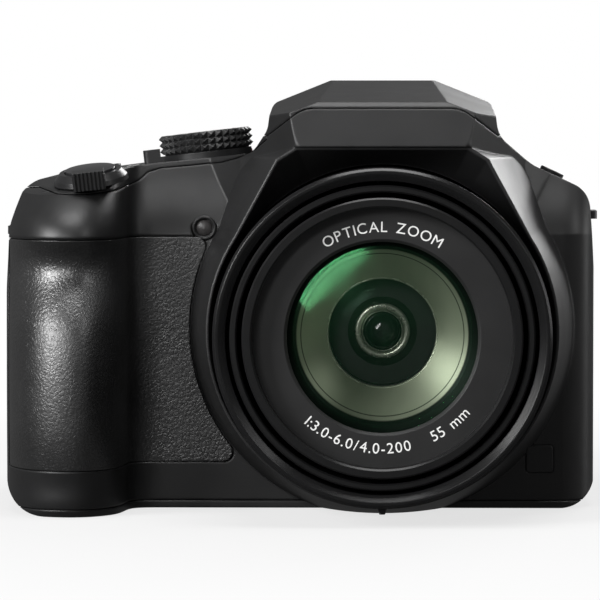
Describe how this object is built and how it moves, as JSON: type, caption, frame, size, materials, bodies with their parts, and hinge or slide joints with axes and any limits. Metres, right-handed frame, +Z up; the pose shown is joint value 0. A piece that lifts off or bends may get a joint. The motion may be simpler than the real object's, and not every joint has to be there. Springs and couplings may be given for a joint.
{
  "type": "bridge camera",
  "caption": "Bridge camera with a fixed zoom lens in telescoping barrels, moulded grip, pop-up flash, mode dial, zoom lever, eyepiece and rear screen.",
  "frame": {"origin": "mouth of the tripod socket on the base plane, under the lens axis", "axes": "+Z up, -Y out of the lens, +X to the right in the front view, the grip on the -X side"},
  "size_m": [0.1334, 0.1192, 0.0943],
  "materials": {
    "black_gloss": "polished black",
    "black_metal": "satin black",
    "black_shell": "fine matte black",
    "board_green": "green board",
    "bright_steel": "brushed",
    "card_blue": "blue",
    "cell_grey": "dark grey wrap",
    "clear_window": "clear",
    "dull_alloy": "satin",
    "gear_white": "pale",
    "gold_contact": "polished",
    "grip_skin": "leather grain black",
    "lamp_clear": "clear",
    "lens_glass": "green coated",
    "mirror_metal": "polished",
    "red_cap": "red",
    "screen_glass": "dark screen cover"
  },
  "bodies": {
    "camera_body": {"af_lamp": "lamp_clear", "badge_plate": "bright_steel", "barrel_ring": "black_shell", "battery": "cell_grey", "battery_case": "black_shell", "bottom_cover": "black_shell", "case_screws": "black_metal", "chassis": "dull_alloy", "eyecup": "grip_skin", "eyepiece_lens": "clear_window", "fixed_barrel": "black_shell", "flash_hinge_pin": "bright_steel", "focus_lens": "lens_glass", "front_cover": "black_shell", "grip_rubber": "grip_skin", "hot_shoe": "bright_steel", "hot_shoe_contacts": "gold_contact", "lcd_panel": "cell_grey", "lcd_window": "screen_glass", "main_board": "board_green", "memory_card": "card_blue", "rear_cover": "black_shell", "sensor_board": "board_green", "strap_lugs": "bright_steel", "terminal_sockets": "bright_steel", "thumb_rest": "grip_skin", "top_cover": "black_shell", "tripod_socket": "bright_steel", "viewfinder_display": "cell_grey", "zoom_motor": "dull_alloy"},
    "flash": {"flash_cap": "black_shell", "flash_window": "clear_window", "flash_reflector": "mirror_metal", "flash_tube": "clear_window"},
    "outer_barrel": {"zoom_barrel_outer": "black_shell"},
    "inner_barrel": {"zoom_barrel_inner": "black_shell", "name_ring": "black_shell", "front_element": "lens_glass", "lens_baffle": "black_shell"},
    "middle_group": {"middle_lens_cell": "black_shell", "middle_lens": "lens_glass"},
    "cam_ring": {"cam_ring": "black_metal"},
    "zoom_pinion": {"zoom_pinion": "gear_white"},
    "mode_dial": {"mode_dial": "black_shell"},
    "power_lever": {"power_lever": "black_shell"},
    "zoom_lever": {"zoom_lever": "black_shell"},
    "shutter_button": {"shutter_button": "black_gloss"},
    "drive_button": {"drive_button": "black_shell"},
    "video_button": {"video_button": "red_cap"},
    "flash_button": {"flash_button": "black_shell"},
    "viewfinder_button": {"viewfinder_button": "black_shell"},
    "playback_button": {"playback_button": "black_shell"},
    "delete_button": {"delete_button": "black_shell"},
    "set_button": {"set_button": "black_shell"},
    "cursor_pad": {"cursor_pad": "black_shell"},
    "rear_dial": {"rear_dial": "black_shell"},
    "diopter_dial": {"diopter_dial": "black_shell"},
    "terminal_door": {"terminal_door": "grip_skin"},
    "battery_door": {"battery_door": "black_shell"},
    "battery_latch": {"battery_latch": "black_shell"}
  },
  "joints": [
    {"name": "flash_hinge", "type": "hinge", "parent": "camera_body", "child": "flash", "pos_m": [0, -0.0039, 0.09], "axis": [-1, 0, 0], "range_deg": [0, 45]},
    {"name": "zoom_slide", "type": "slide", "parent": "camera_body", "child": "outer_barrel", "axis": [0, -1, 0], "range_m": [0, 0.034]},
    {"name": "inner_slide", "type": "slide", "parent": "outer_barrel", "child": "inner_barrel", "axis": [0, -1, 0], "range_m": [0, 0.034]},
    {"name": "middle_slide", "type": "slide", "parent": "inner_barrel", "child": "middle_group", "axis": [0, 1, 0], "range_m": [0, 0.012]},
    {"name": "cam_spin", "type": "hinge", "parent": "camera_body", "child": "cam_ring", "pos_m": [0, 0, 0.04], "axis": [0, 1, 0], "range_deg": [0, 30]},
    {"name": "pinion_spin", "type": "hinge", "parent": "camera_body", "child": "zoom_pinion", "pos_m": [-0.0396, 0, 0.04], "axis": [0, 1, 0], "range_deg": [-300, 0]},
    {"name": "mode_dial_spin", "type": "hinge", "parent": "camera_body", "child": "mode_dial", "pos_m": [-0.0392, -0.005, 0.0766], "axis": [-0.1167, 0, 0.9932], "continuous": true},
    {"name": "power_lever_turn", "type": "hinge", "parent": "camera_body", "child": "power_lever", "pos_m": [-0.0392, -0.005, 0.0766], "axis": [-0.1167, 0, 0.9932], "range_deg": [0, 15]},
    {"name": "zoom_lever_turn", "type": "hinge", "parent": "camera_body", "child": "zoom_lever", "pos_m": [-0.0635, -0.0345, 0.072], "axis": [-0.1027, -0.181, 0.9781], "range_deg": [-12, 12], "stiffness_Nm_per_rad": 0.02},
    {"name": "shutter_press", "type": "slide", "parent": "camera_body", "child": "shutter_button", "axis": [0.1027, 0.181, -0.9781], "range_m": [0, 0.0008], "stiffness_N_per_m": 700},
    {"name": "drive_press", "type": "slide", "parent": "camera_body", "child": "drive_button", "axis": [0.1323, 0, -0.9912], "range_m": [0, 0.0005], "stiffness_N_per_m": 500},
    {"name": "video_press", "type": "slide", "parent": "camera_body", "child": "video_button", "axis": [0.1006, 0, -0.9949], "range_m": [0, 0.0005], "stiffness_N_per_m": 500},
    {"name": "flash_press", "type": "slide", "parent": "camera_body", "child": "flash_button", "axis": [-0.4171, 0, -0.9089], "range_m": [0, 0.0005], "stiffness_N_per_m": 500},
    {"name": "viewfinder_press", "type": "slide", "parent": "camera_body", "child": "viewfinder_button", "axis": [0, -1, 0], "range_m": [0, 0.0005], "stiffness_N_per_m": 500},
    {"name": "playback_press", "type": "slide", "parent": "camera_body", "child": "playback_button", "axis": [0, -1, 0], "range_m": [0, 0.0005], "stiffness_N_per_m": 500},
    {"name": "delete_press", "type": "slide", "parent": "camera_body", "child": "delete_button", "axis": [0, -1, 0], "range_m": [0, 0.0005], "stiffness_N_per_m": 500},
    {"name": "set_press", "type": "slide", "parent": "camera_body", "child": "set_button", "axis": [0, -1, 0], "range_m": [0, 0.0005], "stiffness_N_per_m": 500},
    {"name": "cursor_rock", "type": "hinge", "parent": "camera_body", "child": "cursor_pad", "pos_m": [-0.0445, 0.0328, 0.028], "axis": [1, 0, 0], "range_deg": [-3, 3], "stiffness_Nm_per_rad": 0.05},
    {"name": "rear_dial_spin", "type": "hinge", "parent": "camera_body", "child": "rear_dial", "pos_m": [-0.066, 0.0273, 0.064], "axis": [0, 0, 1], "continuous": true},
    {"name": "diopter_turn", "type": "hinge", "parent": "camera_body", "child": "diopter_dial", "pos_m": [0.0196, 0.034, 0.079], "axis": [0, 1, 0], "range_deg": [-120, 120]},
    {"name": "terminal_door_hinge", "type": "hinge", "parent": "camera_body", "child": "terminal_door", "pos_m": [0.0468, -0.008, 0.036], "axis": [0, 0, -1], "range_deg": [0, 95]},
    {"name": "battery_door_hinge", "type": "hinge", "parent": "camera_body", "child": "battery_door", "pos_m": [-0.0594, -0.0214, 0], "axis": [0, -1, 0], "range_deg": [0, 95]},
    {"name": "battery_latch_slide", "type": "slide", "parent": "battery_door", "child": "battery_latch", "axis": [0, -1, 0], "range_m": [0, 0.0025]}
  ],
  "couplings": [
    {"joint": "inner_slide", "follows": "zoom_slide", "ratio": 1},
    {"joint": "middle_slide", "follows": "zoom_slide", "ratio": 0.35294},
    {"joint": "cam_spin", "follows": "zoom_slide", "rad_per_m": 15.398},
    {"joint": "pinion_spin", "follows": "zoom_slide", "rad_per_m": -153.98}
  ]
}
